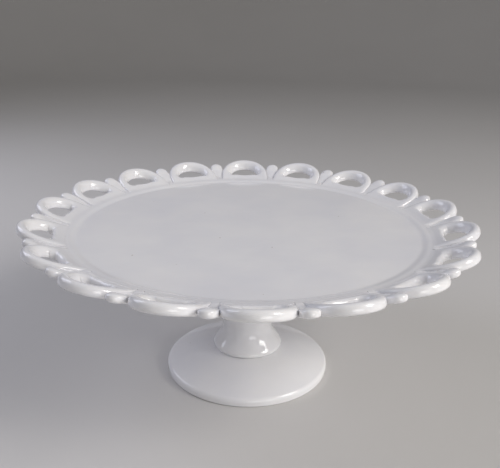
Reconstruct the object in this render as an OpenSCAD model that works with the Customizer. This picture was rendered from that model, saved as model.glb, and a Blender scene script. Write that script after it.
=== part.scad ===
// Footed cake stand in opaque white pressed glass, with an openwork border of
// oval loops and small fan-shaped petals. Millimetres, +Z up. The origin is at
// the centre of the foot, on the surface that the stand rests on. The first
// loop is centred on -Y, and loops and petals follow anticlockwise.

/* [Salver] */
// Diameter over the tips of the loops
plate_d = 305; // [290:5:330]
// Height from the table to the top of the loops
stand_h = 117.5; // [105:0.5:140]
// Thickness of the glass in the border
border_t = 6.2; // [5.4:0.1:6.8]
// Diameter of the flat floor of the well
well_d = 210; // [190:2:214]
// Depth of the well's floor below the band round it
well_depth = 1.1; // [0.8:0.1:2]
// Diameter of the soft shoulder round the well, at its upper edge
shoulder_d = 242.4; // [238:0.2:243]
// Width of the shoulder, over which the glass rises from the floor to the band
shoulder_w = 7; // [5:0.5:9]
// Width of the smooth band outside the shoulder
band_w = 1.2; // [0.8:0.1:2]

/* [Openwork border] */
// Number of loops, and of petals
loop_n = 18; // [16:1:19]
// Slope of the flared border above the horizontal, in degrees
flare = 21.4; // [16:0.2:26]
// Gap between two loops where they are widest
petal_gap = 7.6; // [6.5:0.1:9]
// Width of the rail round a loop's D-shaped hole
rail_w = 7.6; // [6.6:0.1:8.6]
// How far the hole's straight side lies inside the loop's centre
hole_in = 3.2; // [1:0.1:4]
// How far the petals lie below the top of the loops
petal_drop = 0.8; // [0.4:0.1:1.2]
// How far the petals' tips lie inside the circle of the loops' tips
petal_inset = 4; // [3:0.2:6]
// Diameter of the bead at a petal's tip
bead_d = 11; // [10:0.2:12]

/* [Pedestal] */
// Diameter of the foot
foot_d = 116.4; // [105:0.2:130]
// Height of the foot's outer edge
foot_edge_h = 6.5; // [5.5:0.5:9]
// Height of the foot where the stem stands on it
foot_h = 16.6; // [15:0.2:19]
// Diameter of the hollow under the foot
hollow_d = 96; // [86:1:98]
// Depth of the hollow under the foot
hollow_h = 3; // [2:0.5:4]
// Diameter of the stem's bell-shaped skirt
skirt_d = 49.4; // [44:0.2:54]
// Height of the skirt, from the foot to the neck
skirt_h = 18; // [15:0.5:24]
// Diameter of the stem at its neck
neck_d = 34.4; // [28:0.2:38]
// Length of the straight neck
neck_l = 18; // [10:1:24]
// Diameter of the stem's upper end, under the salver
collar_d = 52; // [46:1:58]

/* [Hidden] */
$fn = 96;
plate_r = plate_d / 2;
well_r = well_d / 2;
shoulder_r = shoulder_d / 2;
band_r = shoulder_r + band_w;
half_pitch = 180 / loop_n;

// Steps of the curves and arcs, and of the round side of a loop's hole
curve_steps = 16;
arc_steps = 8;
hole_steps = 32;

// Rounding of the border's edges, and how far they stand out at a loop's tip
edge_share = 1 / 3;
edge_r = border_t * edge_share;
tip_out = edge_r * (1 - cos(flare)) + (border_t / 2 - edge_r) * sin(flare);
// The loop's width follows from the number of loops and the gap between them.
loop_w = (2 * (plate_r - tip_out) * sin(half_pitch) - petal_gap)
    / (1 + sin(half_pitch) * cos(flare));
loop_a = loop_w / 2;
loop_r = plate_r - tip_out - loop_a * cos(flare);

// Heights on the border's middle plane, at the loops' centres and at the band
tip_top = border_t / 2 * cos(flare) - edge_r * (cos(flare) - 1);
loop_z = stand_h - (loop_a - edge_r) * sin(flare) - tip_top;
band_z = loop_z - (loop_r - band_r) * tan(flare) + border_t / 2 / cos(flare);
floor_z = band_z - well_depth;
under_z = floor_z - border_t;
// How far inside the shoulder's edge the underside starts to rise
bend_w = 5.5;

// Petal: radius of its bead, and of the circle that the beads lie on
petal_t = border_t - petal_drop;
bead_a = bead_d / 2;
bead_r = plate_r - petal_inset - tip_out - bead_a * cos(flare);

// Radius of the skirt's lower edge, where it curls in on to the foot, and the
// upright land above it
curl_r = 1.6;
skirt_land = 1;
// Rounding of the foot's outer edge, and how far it turns on to the dome
foot_low_r = 1.2;
foot_high_r = foot_edge_h / 2;
foot_turn = 72;

function pad2(i) = i < 10 ? str("0", i) : str(i);
LOOPS = [for (i = [1 : loop_n]) str("lace_loop_", pad2(i))];
PETALS = [for (i = [1 : loop_n]) str("lace_petal_", pad2(i))];

// Points of a curve that eases from one [radius, height] to another, flat at
// both ends when it is read along its height.
function ease(from, to, steps) = [
    for (i = [0 : steps])
        let (u = i / steps, s = (1 - cos(180 * u)) / 2)
            [from[0] + (to[0] - from[0]) * s, from[1] + (to[1] - from[1]) * u]
];

// Points of an arc round [x, y], as [radius, height] pairs.
function arc(x, y, r, from, to, steps) = [
    for (i = [0 : steps])
        let (a = from + (to - from) * i / steps)
            [x + r * cos(a), y + r * sin(a)]
];

// Points of a gentle rise from one [radius, height] to another, level at both
// ends.
function swell(from, to, steps) = [
    for (i = [0 : steps])
        let (u = i / steps, s = (1 - cos(180 * u)) / 2)
            [from[0] + (to[0] - from[0]) * u, from[1] + (to[1] - from[1]) * s]
];

// Outline of a loop's hole, seen from above: half an oval, and a straight side
// towards the well.
function hole_outline(steps) = let (w = loop_a - rail_w) concat(
    [for (i = [0 : steps])
        let (a = 180 * i / steps)
            [w * cos(a), w * sin(a) * cos(flare)]],
    [[-w, -hole_in], [w, -hole_in]]
);

// Moves its children from the slope's own plane to the border at an angle:
// +Y then runs up the slope, outwards.
module on_slope(angle, r, z) {
    rotate([0, 0, angle - 90])
        translate([0, r, z])
            rotate([flare, 0, 0])
                children();
}

// A bar cross-section with rounded edges, from the axis to radius w.
module rounded_section(w, t, r) {
    union() {
        translate([0, -t / 2 + r])
            square([w, t - 2 * r]);
        translate([0, -t / 2])
            square([w - r, t]);
        for (side = [-1, 1])
            translate([w - r, side * (t / 2 - r)])
                circle(r, $fn = 32);
    }
}

// Everything inside the band's outer edge, which the border is cut back from.
module band_core() {
    cylinder(h = 2 * stand_h, r = band_r);
}

// One loop: a straight-sided tongue with a half-round tip, and an upright hole.
module lace_loop(i) {
    angle = -90 + 2 * half_pitch * (i - 1);
    tail = loop_r - band_r + border_t;
    color("white")
        difference() {
            on_slope(angle, loop_r, loop_z)
                union() {
                    rotate_extrude(angle = 180)
                        intersection() {
                            rounded_section(loop_a, border_t, edge_r);
                            translate([0, -border_t])
                                square([loop_w, 2 * border_t]);
                        }
                    for (side = [0, 1])
                        mirror([side, 0, 0])
                            rotate([90, 0, 0])
                                linear_extrude(height = tail)
                                    rounded_section(loop_a, border_t, edge_r);
                }
            rotate([0, 0, angle - 90])
                translate([0, loop_r, 0])
                    linear_extrude(height = 2 * stand_h)
                        polygon(hole_outline(hole_steps));
            band_core();
        }
}

// The outline of a loop as a straight block, which cuts the petals' sides.
module loop_block(i) {
    angle = -90 + 2 * half_pitch * (i - 1);
    on_slope(angle, loop_r, loop_z) {
        translate([0, 0, -2 * border_t])
            cylinder(h = 4 * border_t, r = loop_a);
        translate([-loop_a, -2 * loop_a, -2 * border_t])
            cube([loop_w, 2 * loop_a, 4 * border_t]);
    }
}

// One petal: a fan that widens outwards between two loops and ends in a bead.
module lace_petal(i) {
    angle = -90 + 2 * half_pitch * (i - 0.5);
    bead_z = loop_z + (bead_r - loop_r) * tan(flare) - petal_drop / 2;
    color("white")
        difference() {
            on_slope(angle, bead_r, bead_z)
                union() {
                    rotate_extrude()
                        rounded_section(bead_a, petal_t, edge_r);
                    translate([-bead_a, -loop_a, -petal_t / 2])
                        cube([2 * bead_a, loop_a, petal_t]);
                }
            band_core();
            loop_block(i);
            loop_block(i + 1);
        }
}

// The well: a disc with a flat floor and a flat underside.
module well() {
    color("white")
        translate([0, 0, under_z])
            cylinder(h = border_t, r = well_r);
}

// The well's soft shoulder, the smooth band outside it, and the glass below.
module rim_band() {
    outer_low = band_z - border_t / cos(flare);
    color("white")
        rotate_extrude()
            polygon(concat(
                [[well_r, under_z], [shoulder_r - bend_w, under_z]],
                [[band_r, outer_low], [band_r, band_z]],
                swell([shoulder_r, band_z], [shoulder_r - shoulder_w, floor_z],
                    curve_steps),
                [[well_r, floor_z]]
            ));
}

// The stem: a bell-shaped skirt, a slim neck, and a flare under the salver.
module stem() {
    skirt_r = skirt_d / 2;
    neck_r = neck_d / 2;
    collar_r = collar_d / 2;
    neck_low = foot_h + skirt_h;
    neck_high = neck_low + neck_l;
    skirt_low = foot_h + curl_r + skirt_land;
    color("white")
        rotate_extrude()
            polygon(concat(
                [[0, foot_h]],
                arc(skirt_r - curl_r, foot_h + curl_r, curl_r, -90, 0, arc_steps),
                ease([skirt_r, skirt_low], [neck_r, neck_low], curve_steps),
                ease([neck_r, neck_high], [collar_r, under_z], curve_steps),
                [[0, under_z]]
            ));
}

// The foot: a low dome with a rounded edge, hollowed out underneath.
module foot() {
    foot_r = foot_d / 2;
    hollow_r = hollow_d / 2;
    ball_r = (hollow_r * hollow_r + hollow_h * hollow_h) / (2 * hollow_h);
    skirt_r = skirt_d / 2;
    low_r = foot_low_r;
    high_r = foot_high_r;
    color("white")
        difference() {
            rotate_extrude()
                polygon(concat(
                    [[0, 0]],
                    arc(foot_r - low_r, low_r, low_r, -90, 0, arc_steps),
                    arc(foot_r - high_r, foot_edge_h - high_r, high_r,
                        0, foot_turn, arc_steps),
                    [[skirt_r - curl_r, foot_h], [0, foot_h]]
                ));
            translate([0, 0, hollow_h - ball_r])
                sphere(ball_r, $fn = 192);
        }
}

well();
rim_band();
for (i = [1 : loop_n])
    lace_loop(i);
for (i = [1 : loop_n])
    lace_petal(i);
stem();
foot();
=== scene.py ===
import math

import bpy
from mathutils import Matrix, Vector


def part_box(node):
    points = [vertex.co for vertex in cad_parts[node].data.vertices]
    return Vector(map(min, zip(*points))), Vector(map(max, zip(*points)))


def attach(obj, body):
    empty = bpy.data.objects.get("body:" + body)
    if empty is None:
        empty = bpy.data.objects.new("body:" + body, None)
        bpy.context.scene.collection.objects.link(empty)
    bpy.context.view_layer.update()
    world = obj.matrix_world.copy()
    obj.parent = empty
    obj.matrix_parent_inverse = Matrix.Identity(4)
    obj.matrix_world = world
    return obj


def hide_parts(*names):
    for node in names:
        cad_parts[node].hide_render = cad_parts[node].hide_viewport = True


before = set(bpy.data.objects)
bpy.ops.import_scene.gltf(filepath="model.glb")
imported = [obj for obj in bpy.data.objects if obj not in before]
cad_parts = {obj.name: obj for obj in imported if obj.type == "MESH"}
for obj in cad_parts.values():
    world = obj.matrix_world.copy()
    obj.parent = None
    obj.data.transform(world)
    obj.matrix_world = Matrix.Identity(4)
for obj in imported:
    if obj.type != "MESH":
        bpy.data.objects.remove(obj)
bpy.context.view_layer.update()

# Driving dimensions that the boxes of the CAD nodes don't give. Lengths are in
# metres, and FLARE is in radians. FOOT_TURN is how far the foot's edge turns on
# to the dome, in degrees
LOOP_COUNT = 18
FLARE = math.radians(21.4)
GLASS = 0.0062
PETAL_GAP = 0.0076
RAIL_WIDE = 0.0076
HOLE_IN = 0.0032
PETAL_DROP = 0.0008
PETAL_SINK = 0.0008
PETAL_INSET = 0.004
SHOULDER_RADIUS = 0.1215
SHOULDER_WIDE = 0.0075
SKIRT_RADIUS = 0.0247
SKIRT_HEIGHT = 0.018
SKIRT_LAND = 0.001
NECK_RADIUS = 0.0172
NECK_LENGTH = 0.018
CURL = 0.0016
FOOT_EDGE = 0.0065
FOOT_LOW = 0.0012
FOOT_TURN = 72
HOLLOW_RADIUS = 0.048
HOLLOW_HEIGHT = 0.003

# Dimensions worked out from the CAD's boxes
HALF = GLASS / 2
PLATE_R = -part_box("lace_loop_01")[0].y
BAND_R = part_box("rim_band")[1].x
BAND_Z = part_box("rim_band")[1].z
FLOOR_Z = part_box("well")[1].z
UNDER_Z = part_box("well")[0].z
WELL_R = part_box("well")[1].x
COLLAR_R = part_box("stem")[1].x
FOOT_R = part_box("foot")[1].x
FOOT_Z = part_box("foot")[1].z

# The loops, as in the CAD: half a pitch, half a width, the centre, and half the
# width of the hole
HALF_PITCH = math.pi / LOOP_COUNT
EDGE = GLASS / 3
TIP_OUT = EDGE * (1 - math.cos(FLARE)) + (HALF - EDGE) * math.sin(FLARE)
LOOP_A = ((PLATE_R - TIP_OUT) * math.sin(HALF_PITCH) - PETAL_GAP / 2) / (
    1 + math.sin(HALF_PITCH) * math.cos(FLARE)
)
LOOP_R = PLATE_R - TIP_OUT - LOOP_A * math.cos(FLARE)
MIDDLE_Z = BAND_Z + (LOOP_R - BAND_R) * math.tan(FLARE) - HALF / math.cos(FLARE)
HOLE_A = LOOP_A - RAIL_WIDE

# The petals' beads: each is a little wider than the gap that it lies in
BEAD_EXTRA = 0.0012
BEAD_A = PETAL_GAP / 2 + BEAD_EXTRA
BEAD_R = PLATE_R - PETAL_INSET - TIP_OUT - BEAD_A * math.cos(FLARE)
BEAD_REACH = BEAD_A * math.cos(FLARE)

# How square the glass's rounding is above and below: 2 would be an ellipse
HOLE_POWER = 2.0
TOP_POWER = 2.4
LOW_POWER = 2.8
# Share of the glass's thickness that the rounding takes at a free edge,
# and at the grooves between loops and petals
FULL_ROUND = 0.94
GROOVE = 0.36
PETAL_GROOVE = 0.3
# Places along a loop, from 0 at the band to 1 where it is widest and 2 at its
# tip: the groove is whole at the first, and the full rounding comes in between
# the other two
GROOVE_WHOLE = 2 / 3
ROUND_START = 0.8
ROUND_WHOLE = 1.3
# Reach of the soft bend between the band and the flared border
BEND = 0.003
# Width over which the sections turn from upright, at the band, to square to the
# border's slope
LEAN = 0.008
# Width of the rounding at the straight side of a hole
LIP = 0.0032
# The holes are narrowest this share of the way from the middle to the underside
WAIST = 0.6
# Share of a rail's width that slopes down into its hole
INNER_SHARE = 0.56
# Radius of the corners of a hole's straight side
CORNER = 0.005
# Width of the rounding round a hole on the underside
LOW_ROUND = 0.0015
# How much thicker the rail is below, at a loop's tip
TIP_EXTRA = 0.0002
# How far the well's floor dishes, and how far the foot's dome bulges
DISH = 0.0002
SWELL = 0.0008
# How early the stem's skirt turns in: 1 would be an even wave
BELL_POWER = 0.65

# Steps along a loop's tip, side and straight end, and across its top or bottom
TIP_STEPS = 28
SIDE_STEPS = 12
BAND_STEPS = 32
RAIL_STEPS = 18
# Steps along a petal's fan and bead, and across its top or bottom. The bead's
# rows stop at BEAD_TURN, short of the tip, where a flat cap closes it
FAN_STEPS = 4
BEAD_STEPS = 12
PETAL_STEPS = 16
BEAD_TURN = math.radians(84)
# Steps round the salver and the foot, and round the stem
ROUND_STEPS = 288
STEM_STEPS = 192
# A point this close to the axis is on it
ON_AXIS = 1e-9
# Edges that turn by more than this show as creases
CREASE = math.radians(50)


def smooth(x):
    """Eases from 0 to 1 as x goes from 0 to 1."""
    x = min(1.0, max(0.0, x))
    return x * x * (3 - 2 * x)


def ramp(x, start, end):
    """Eases from 0 to 1 as x goes from start to end."""
    return smooth((x - start) / (end - start))


def smoother(x):
    """Eases from 0 to 1 like smooth, with no jump in curvature at the ends."""
    x = min(1.0, max(0.0, x))
    return x ** 3 * (x * (6 * x - 15) + 10)


def rounded(x, power):
    """Height of a rounded edge, from 0 at x = 0 to 1 at x = 1 and beyond."""
    x = min(1.0, max(0.0, x))
    return (1 - (1 - x) ** power) ** (1 / power)


def spaced(steps):
    """Numbers from 0 to 1 that lie closer together at both ends."""
    return [(1 - math.cos(math.pi * i / steps)) / 2 for i in range(steps + 1)]


def crease_fill(radius):
    """Height that softens the bend where the flat band meets the flared border."""
    x = radius - BAND_R
    if abs(x) > BEND:
        return 0.0
    return math.tan(FLARE) * ((x + BEND) ** 2 / (4 * BEND) - max(0.0, x))


def border_point(azimuth, out, along, lift):
    """A point of the flared border.

    out and along are plan distances from the axis, in the direction azimuth and
    square to it. lift is the distance above the border's middle surface.
    """
    radius = math.hypot(out, along)
    turn = azimuth + math.atan2(along, out)
    lean = smooth((radius - BAND_R) / LEAN)
    upright = math.cos(FLARE) * lean + (1 - lean) / math.cos(FLARE)
    middle = MIDDLE_Z + (radius - LOOP_R) * math.tan(FLARE)
    fill = crease_fill(radius) * max(0.0, lift) / HALF
    across = radius - lift * math.sin(FLARE) * lean
    height = middle + lift * upright + fill
    return Vector((across * math.cos(turn), across * math.sin(turn), height))


def make_piece(name, points, faces, node):
    """A smooth closed mesh that stands for one CAD node."""
    mesh = bpy.data.meshes.new(name)
    mesh.from_pydata([tuple(p) for p in points], [], faces)
    mesh.validate()
    mesh.shade_smooth()
    mesh.set_sharp_from_angle(angle=CREASE)
    piece = bpy.data.objects.new(name, mesh)
    bpy.context.scene.collection.objects.link(piece)
    mesh.materials.append(GLASS_LOOK)
    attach(piece, "root")
    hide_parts(node)
    return piece


def wrap_faces(rows, columns, rows_close):
    """Quads over rows of points, each row a closed ring of that many columns."""
    faces = []
    for i in range(rows if rows_close else rows - 1):
        a = i * columns
        b = (i + 1) % rows * columns
        for j in range(columns):
            k = (j + 1) % columns
            faces.append((a + j, a + k, b + k, b + j))
    return faces


def lathe(name, profile, node, steps=ROUND_STEPS):
    """Turns a closed profile of (radius, height) points round the axis."""
    points = []
    rings = []
    for radius, height in profile:
        if radius < ON_AXIS:
            rings.append([len(points)] * steps)
            points.append((0, 0, height))
            continue
        rings.append([len(points) + j for j in range(steps)])
        for j in range(steps):
            turn = 2 * math.pi * j / steps
            points.append((radius * math.cos(turn), radius * math.sin(turn), height))
    faces = []
    for a, b in zip(rings, rings[1:] + rings[:1]):
        for j in range(steps):
            k = (j + 1) % steps
            corners = list(dict.fromkeys([a[j], a[k], b[k], b[j]]))
            if len(corners) > 2:
                faces.append(corners)
    return make_piece(name, points, faces, node)


def curve(start, end, steps, shape):
    """Points from start to end; shape(u) gives the share of the change in radius."""
    points = []
    for i in range(steps + 1):
        u = i / steps
        radius = start[0] + (end[0] - start[0]) * shape(u)
        points.append((radius, start[1] + (end[1] - start[1]) * u))
    return points


def ease(u):
    """Goes from 0 to 1 along half a cosine wave."""
    return (1 - math.cos(math.pi * u)) / 2


def bell(u):
    """Like ease, but quick at first, so that the stem's skirt turns in low down."""
    return ease(u ** BELL_POWER)


def arc(centre, size, first, last, steps):
    """Points of an arc, from angle first to last in degrees."""
    points = []
    for i in range(steps + 1):
        turn = math.radians(first + (last - first) * i / steps)
        x = centre[0] + size * math.cos(turn)
        points.append((x, centre[1] + size * math.sin(turn)))
    return points


# ---------------------------------------------------------------- the salver


def tip_reach():
    """Distance from a loop's centre to its tip, which puts the tip near PLATE_R."""
    half_rail = RAIL_WIDE * (1 - INNER_SHARE)
    power = TOP_POWER / (TOP_POWER - 1)
    bulge = (half_rail * math.cos(FLARE)) ** power + (HALF * math.sin(FLARE)) ** power
    return half_rail + (PLATE_R - LOOP_R - bulge ** (1 / power)) / math.cos(FLARE)


def side_outline():
    """Half of a loop's outline, from its tip to the band, as (along, up) pairs."""
    reach = tip_reach()
    corner = math.asin(LOOP_A / BAND_R)
    low = (BAND_R * math.cos(corner) - LOOP_R) / math.cos(FLARE)
    points = []
    for i in range(TIP_STEPS + 1):
        turn = math.pi / 2 * (1 - i / TIP_STEPS)
        points.append((LOOP_A * math.cos(turn), reach * math.sin(turn)))
    for i in range(1, SIDE_STEPS + 1):
        points.append((LOOP_A, low * i / SIDE_STEPS))
    return points


SIDE = side_outline()


def hole_side():
    """Half of a hole's outline, from its tip to the middle of its straight side."""
    points = []
    centre = HOLE_A - CORNER
    for i in range(TIP_STEPS + 1):
        turn = math.pi / 2 * (1 - i / TIP_STEPS)
        points.append((HOLE_A * math.cos(turn), HOLE_A * math.sin(turn)))
    for i in range(1, SIDE_STEPS + 1):
        turn = math.pi / 2 * i / SIDE_STEPS
        drop = HOLE_IN - CORNER + CORNER * math.sin(turn)
        points.append((centre + CORNER * math.cos(turn), -max(0.0, drop)))
    for i in range(1, BAND_STEPS // 2 + 1):
        points.append((centre * (1 - 2 * i / BAND_STEPS), -HOLE_IN))
    return points


def loop_outline():
    """A loop's whole outline as (along, up, place), with the hole's point for each."""
    half = [(u, s, 1 + s / LOOP_A) for u, s in SIDE]
    corner = math.asin(LOOP_A / BAND_R)
    for i in range(1, BAND_STEPS // 2 + 1):
        turn = corner * (1 - 2 * i / BAND_STEPS)
        up = (BAND_R * math.cos(turn) - LOOP_R) / math.cos(FLARE)
        half.append((BAND_R * math.sin(turn), up, 0.0))
    pairs = list(zip(half, hole_side()))
    other = [((-u, s, place), (-x, y)) for (u, s, place), (x, y) in pairs[-2:0:-1]]
    return pairs + other


def loop_section(edge_point, hole_point, azimuth):
    """One cross-section of a loop: over the top from the hole, and back below."""
    along, up, place = edge_point
    u, s = hole_point
    length = math.hypot(along - u, up - s)
    rail = smooth(place)
    edge = GROOVE * ramp(place, 0, GROOVE_WHOLE)
    edge += (FULL_ROUND - GROOVE) * ramp(place, ROUND_START, ROUND_WHOLE)
    inner = rail * length * INNER_SHARE + (1 - rail) * LIP
    outer = rail * length * (1 - INNER_SHARE) + (1 - rail) * HALF
    waist = -WAIST * HALF
    low = -HALF - TIP_EXTRA * smooth(place - 1)
    ring = []
    steps = spaced(RAIL_STEPS)
    for w in steps:
        d = w * length
        rise = rounded(d / inner, HOLE_POWER)
        fall = edge * (1 - rounded((length - d) / outer, TOP_POWER))
        lift = waist + (HALF - waist) * rise - HALF * fall
        ring.append(section_point(azimuth, u, s, along, up, w, lift))
    for w in reversed(steps[1:]):
        d = w * length
        drop = rounded(d / LOW_ROUND, HOLE_POWER)
        rise = edge * (1 - rounded((length - d) / outer, LOW_POWER))
        lift = waist + (low - waist) * drop - low * rise
        ring.append(section_point(azimuth, u, s, along, up, w, lift))
    return ring


def section_point(azimuth, u, s, along, up, w, lift):
    """The point a share w of the way from (u, s) to (along, up) on a loop's slope.

    The hole's wall is upright, so near it the lift's lean is taken out again.
    """
    upright = (1 - w) ** 2 * lift * math.sin(FLARE)
    out = LOOP_R + (s + (up - s) * w) * math.cos(FLARE) + upright
    return border_point(azimuth, out, u + (along - u) * w, lift)


def make_loop(i):
    """Loop i: two rails and a tip round a D-shaped hole."""
    azimuth = -math.pi / 2 + 2 * HALF_PITCH * (i - 1)
    outline = loop_outline()
    points = []
    for edge_point, hole_point in outline:
        points += loop_section(edge_point, hole_point, azimuth)
    columns = len(points) // len(outline)
    faces = wrap_faces(len(outline), columns, True)
    make_piece(f"glass_loop_{i:02d}", points, faces, f"lace_loop_{i:02d}")


def petal_rows():
    """A petal's rows as (radius, half_angle), from the band to near the bead's tip."""
    rows = []
    for u, s in reversed(SIDE):
        out = LOOP_R + s * math.cos(FLARE)
        radius = math.hypot(out, u)
        half_angle = HALF_PITCH - math.atan2(u, out)
        if radius * half_angle > BEAD_A:
            break
        rows.append((radius, half_angle))
    start = rows[-1][0]
    for i in range(1, FAN_STEPS + 1):
        radius = start + (BEAD_R - start) * i / FAN_STEPS
        rows.append((radius, BEAD_A / radius))
    for i in range(1, BEAD_STEPS + 1):
        turn = BEAD_TURN * i / BEAD_STEPS
        radius = BEAD_R + BEAD_REACH * math.sin(turn)
        rows.append((radius, BEAD_A * math.cos(turn) / radius))
    return rows


def petal_ring(radius, half_angle, azimuth):
    """One cross-section of a petal, across its top and back below."""
    beyond = max(0.0, radius - BEAD_R) / BEAD_REACH
    bead = smooth(1 + (radius - BEAD_R) / BEAD_A)
    away = smooth((radius - BAND_R) / LEAN)
    edge = PETAL_GROOVE * away + (FULL_ROUND - PETAL_GROOVE) * bead
    drop = PETAL_DROP * away + PETAL_SINK * away * (1 - bead)
    ring = []
    steps = spaced(PETAL_STEPS)
    for side, w in [(1, w) for w in steps] + [(-1, w) for w in reversed(steps)]:
        x = 2 * w - 1
        middle = 1 - math.hypot(x * math.sqrt(1 - beyond ** 2), beyond)
        height = HALF - drop if side > 0 else HALF
        power = TOP_POWER if side > 0 else LOW_POWER
        lift = side * height * (1 - edge * (1 - rounded(middle, power)))
        turn = -x * half_angle
        out = radius * math.cos(turn)
        ring.append(border_point(azimuth, out, radius * math.sin(turn), lift))
    return ring


def make_petal(i):
    """Petal i: a fan that widens outwards between two loops and ends in a bead."""
    azimuth = -math.pi / 2 + 2 * HALF_PITCH * (i - 0.5)
    rows = petal_rows()
    points = []
    for radius, half_angle in rows:
        points += petal_ring(radius, half_angle, azimuth)
    columns = len(points) // len(rows)
    faces = wrap_faces(len(rows), columns, False)
    faces.append(tuple(reversed(range(columns))))
    last = (len(rows) - 1) * columns
    faces.append(tuple(last + j for j in range(columns)))
    make_piece(f"glass_petal_{i:02d}", points, faces, f"lace_petal_{i:02d}")


def band_height(radius):
    """Height of the salver's upper surface between the well and the border."""
    rise = smoother(1 + (radius - SHOULDER_RADIUS) / SHOULDER_WIDE)
    return FLOOR_Z + (BAND_Z - FLOOR_Z) * rise + crease_fill(radius)


def under_height(radius):
    """Height of the salver's underside, which curves up into the flared border."""
    slope = math.tan(FLARE)
    rise = BAND_Z - GLASS / math.cos(FLARE) - UNDER_Z
    start = BAND_R - 2 * rise / slope
    x = max(0.0, radius - start)
    return UNDER_Z + slope * x * x / (2 * (BAND_R - start))


def make_rim_band():
    """The well's soft shoulder, the smooth band outside it, and the glass below."""
    steps = 64
    radii = [WELL_R + (BAND_R - WELL_R) * i / steps for i in range(steps + 1)]
    profile = [(r, under_height(r)) for r in radii[::2]]
    profile += [(r, band_height(r)) for r in reversed(radii)]
    lathe("glass_rim_band", profile, "rim_band")


def make_well():
    """The well's floor, very slightly dished, and the flat underside."""
    steps = 24
    under_steps = 6
    profile = [(WELL_R * i / under_steps, UNDER_Z) for i in range(under_steps + 1)]
    for i in range(steps + 1):
        share = 1 - i / steps
        profile.append((WELL_R * share, FLOOR_Z - DISH * (1 - share ** 2) ** 2))
    lathe("glass_well", profile, "well")


# ------------------------------------------------------------- the pedestal


def make_stem():
    """The bell-shaped skirt, the slim neck and the flare under the salver."""
    neck_low = FOOT_Z + SKIRT_HEIGHT
    neck_high = neck_low + NECK_LENGTH
    skirt_low = FOOT_Z + CURL + SKIRT_LAND
    foot_ring = 0.6 * SKIRT_RADIUS
    top_ring = 0.5 * COLLAR_R
    steps = 28
    profile = [(0, FOOT_Z), (foot_ring, FOOT_Z)]
    profile += arc((SKIRT_RADIUS - CURL, FOOT_Z + CURL), CURL, -90, 0, 8)
    profile += curve((SKIRT_RADIUS, skirt_low), (NECK_RADIUS, neck_low), steps, bell)
    profile += curve((NECK_RADIUS, neck_high), (COLLAR_R, UNDER_Z), steps, ease)
    profile += [(top_ring, UNDER_Z), (0, UNDER_Z)]
    lathe("glass_stem", profile, "stem", STEM_STEPS)


def hollow_profile(steps):
    """The hollow under the foot, a shallow part of a ball, from the axis outwards."""
    ball = (HOLLOW_RADIUS ** 2 + HOLLOW_HEIGHT ** 2) / (2 * HOLLOW_HEIGHT)
    points = []
    for i in range(steps + 1):
        radius = HOLLOW_RADIUS * i / steps
        height = math.sqrt(ball ** 2 - radius ** 2) - ball + HOLLOW_HEIGHT
        points.append((radius, height))
    return points


def dome_profile(start, inner, steps):
    """The foot's slightly convex dome, from its edge at start in to the skirt."""
    points = []
    for i in range(1, steps + 1):
        u = i / steps
        radius = start[0] + (inner - start[0]) * u
        height = start[1] + (FOOT_Z - start[1]) * u + SWELL * math.sin(math.pi * u)
        points.append((radius, height))
    return points


def make_foot():
    """The round foot: a low, slightly convex dome, hollowed out underneath."""
    high = FOOT_EDGE / 2
    inner = SKIRT_RADIUS - CURL
    profile = hollow_profile(16)
    profile += arc((FOOT_R - FOOT_LOW, FOOT_LOW), FOOT_LOW, -90, 0, 6)
    profile += arc((FOOT_R - high, FOOT_EDGE - high), high, 0, FOOT_TURN, 12)
    profile += dome_profile(profile[-1], inner, 20)
    profile += [(inner / 2, FOOT_Z), (0, FOOT_Z)]
    lathe("glass_foot", profile, "foot")


# ---------------------------------------------------------------- the looks


# Colours of the glass, its specks, the floor and the room, and the glass's gloss
GLASS_DIM = (0.79, 0.79, 0.82, 1)
GLASS_PALE = (0.86, 0.855, 0.86, 1)
SPECK = (0.45, 0.42, 0.38, 1)
FLOOR_DIM = (0.58, 0.57, 0.56, 1)
FLOOR_PALE = (0.62, 0.61, 0.60, 1)
ROOM = (0.84, 0.82, 0.82, 1)
GLASS_ROUGHNESS = (0.04, 0.08)
# Limits that hold most of a noise texture's values, and a speck's edge as a
# distance from its middle
MIDDLE = (0.3, 0.7)
SPECK_EDGE = (0.02, 0.035)


def add(tree, kind, x, y, **values):
    """A shader node with these input values."""
    made = tree.nodes.new(kind)
    made.location = (x, y)
    for key, value in values.items():
        made.inputs[key.replace("_", " ")].default_value = value
    return made


def noise(tree, coords, scale, detail, y):
    """A noise texture in the object's own coordinates."""
    made = add(tree, "ShaderNodeTexNoise", -700, y, Scale=scale, Detail=detail)
    tree.links.new(coords.outputs["Object"], made.inputs["Vector"])
    return made


def span(tree, source, values, results, y):
    """Maps a texture's value, from one pair of limits on to another."""
    made = add(tree, "ShaderNodeMapRange", -450, y)
    made.inputs["From Min"].default_value = values[0]
    made.inputs["From Max"].default_value = values[1]
    made.inputs["To Min"].default_value = results[0]
    made.inputs["To Max"].default_value = results[1]
    tree.links.new(source, made.inputs["Value"])
    return made


def two_tones(tree, source, values, tones, y):
    """Blends from one colour to another over a texture's value."""
    made = add(tree, "ShaderNodeValToRGB", -450, y)
    for stop, value, tone in zip(made.color_ramp.elements, values, tones):
        stop.position = value
        stop.color = tone
    tree.links.new(source, made.inputs["Fac"])
    return made


def new_look(name):
    """A material, with its node tree, its shader and the object's coordinates."""
    look = bpy.data.materials.new(name)
    look.use_nodes = True
    tree = look.node_tree
    coords = add(tree, "ShaderNodeTexCoord", -950, 0)
    return look, tree, tree.nodes["Principled BSDF"], coords


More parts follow.
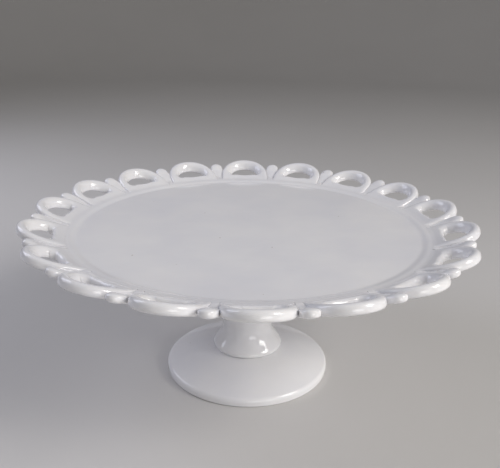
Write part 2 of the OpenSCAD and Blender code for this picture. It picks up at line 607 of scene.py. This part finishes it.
def add_specks(tree, coords, tone):
    """Lays rare dark specks over a colour."""
    grains = add(tree, "ShaderNodeTexVoronoi", -700, 550, Scale=55)
    tree.links.new(coords.outputs["Object"], grains.inputs["Vector"])
    clear = span(tree, grains.outputs["Distance"], SPECK_EDGE, (0, 1), 550)
    mix = add(tree, "ShaderNodeMix", -200, 400)
    mix.data_type = "RGBA"
    factor, first, second = (mix.inputs[i] for i in (0, 6, 7))
    first.default_value = SPECK
    tree.links.new(clear.outputs["Result"], factor)
    tree.links.new(tone, second)
    return mix.outputs[2]


def milk_glass():
    """Opaque white pressed glass: glossy, faintly clouded and wavy, with rare specks."""
    look, tree, shader, coords = new_look("milk_glass")
    shader.inputs["IOR"].default_value = 1.5
    shader.inputs["Subsurface Weight"].default_value = 0.1
    shader.inputs["Subsurface Radius"].default_value = (0.9, 1.0, 1.1)
    shader.inputs["Subsurface Scale"].default_value = 0.0015

    cloud = noise(tree, coords, 22, 3, 300)
    tint = two_tones(tree, cloud.outputs["Fac"], MIDDLE, (GLASS_DIM, GLASS_PALE), 300)
    tone = add_specks(tree, coords, tint.outputs["Color"])
    tree.links.new(tone, shader.inputs["Base Color"])

    smear = noise(tree, coords, 40, 2, -50)
    gloss = span(tree, smear.outputs["Fac"], MIDDLE, GLASS_ROUGHNESS, -50)
    tree.links.new(gloss.outputs["Result"], shader.inputs["Roughness"])

    wave = noise(tree, coords, 90, 2, -350)
    bump = add(tree, "ShaderNodeBump", -200, -350, Strength=0.15, Distance=0.0004)
    tree.links.new(wave.outputs["Fac"], bump.inputs["Height"])
    tree.links.new(bump.outputs["Normal"], shader.inputs["Normal"])
    return look


def floor_look():
    """Matt pale grey with a faint cloud."""
    look, tree, shader, coords = new_look("floor")
    shader.inputs["Roughness"].default_value = 0.6
    cloud = noise(tree, coords, 3, 2, 0)
    tint = two_tones(tree, cloud.outputs["Fac"], (0, 1), (FLOOR_DIM, FLOOR_PALE), 0)
    tree.links.new(tint.outputs["Color"], shader.inputs["Base Color"])
    return look


def pale_floor():
    """A pale floor that curves up into a low wall far away, all round."""
    flat = 1.8
    bend = 1.2
    flat_steps = 6
    steps = 96
    profile = [(flat * i / flat_steps, 0) for i in range(flat_steps + 1)]
    profile += arc((flat, bend), bend, -90, 0, 16)
    profile.reverse()
    points = []
    for radius, height in profile:
        for j in range(steps):
            turn = 2 * math.pi * j / steps
            points.append((radius * math.cos(turn), radius * math.sin(turn), height))
    faces = wrap_faces(len(profile), steps, False)
    mesh = bpy.data.meshes.new("floor")
    mesh.from_pydata(points, [], faces)
    mesh.shade_smooth()
    mesh.materials.append(floor_look())
    floor = bpy.data.objects.new("floor", mesh)
    bpy.context.scene.collection.objects.link(floor)


def soft_light(name, place, sides, power, colour):
    """A window-like area light that faces the middle of the object."""
    lamp = bpy.data.lights.new(name, "AREA")
    lamp.shape = "RECTANGLE"
    lamp.size, lamp.size_y = sides
    lamp.energy = power
    lamp.color = colour
    made = bpy.data.objects.new(name, lamp)
    made.location = place
    aim = Vector((0, 0, 0.08)) - Vector(place)
    made.rotation_euler = aim.to_track_quat("-Z", "Y").to_euler()
    bpy.context.scene.collection.objects.link(made)


def make_lights():
    """Windows at the right and left, a low fill in front, and a pale room."""
    warm = (1.0, 0.97, 0.94)
    lavender = (0.84, 0.86, 1.0)
    white = (1.0, 0.99, 0.98)
    soft_light("window_right", (1.15, -0.65, 0.95), (0.6, 0.8), 17, warm)
    soft_light("window_left", (-0.75, 0.3, 0.65), (0.6, 0.6), 4, lavender)
    soft_light("low_fill", (0.45, -1.3, 0.28), (0.7, 0.4), 3.5, white)
    world = bpy.data.worlds.new("room")
    bpy.context.scene.world = world
    world.use_nodes = True
    sky = world.node_tree.nodes["Background"]
    sky.inputs["Color"].default_value = ROOM
    sky.inputs["Strength"].default_value = 0.22


def make_camera():
    """The camera: round the object's axis, back, up, then tilted down and rolled."""
    azimuth = math.radians(-2.24)
    distance = 0.4214
    height = 0.2533
    pan = math.radians(-0.063)
    tilt = math.radians(90 - 19.875)
    roll = math.radians(1.054)
    lens = bpy.data.cameras.new("camera")
    lens.sensor_width = 36
    lens.lens = 46.65
    lens.clip_start = 0.01
    camera = bpy.data.objects.new("camera", lens)
    place = Matrix.Rotation(azimuth, 4, "Z") @ Matrix.Translation((0, -distance, height))
    aim = Matrix.Rotation(pan, 4, "Z") @ Matrix.Rotation(tilt, 4, "X")
    camera.matrix_world = place @ aim @ Matrix.Rotation(roll, 4, "Z")
    bpy.context.scene.collection.objects.link(camera)
    bpy.context.scene.camera = camera


GLASS_LOOK = milk_glass()
make_well()
make_rim_band()
for number in range(1, LOOP_COUNT + 1):
    make_loop(number)
    make_petal(number)
make_stem()
make_foot()
pale_floor()
make_lights()
make_camera()
bpy.context.scene.view_settings.view_transform = "Standard"
bpy.context.view_layer.update()
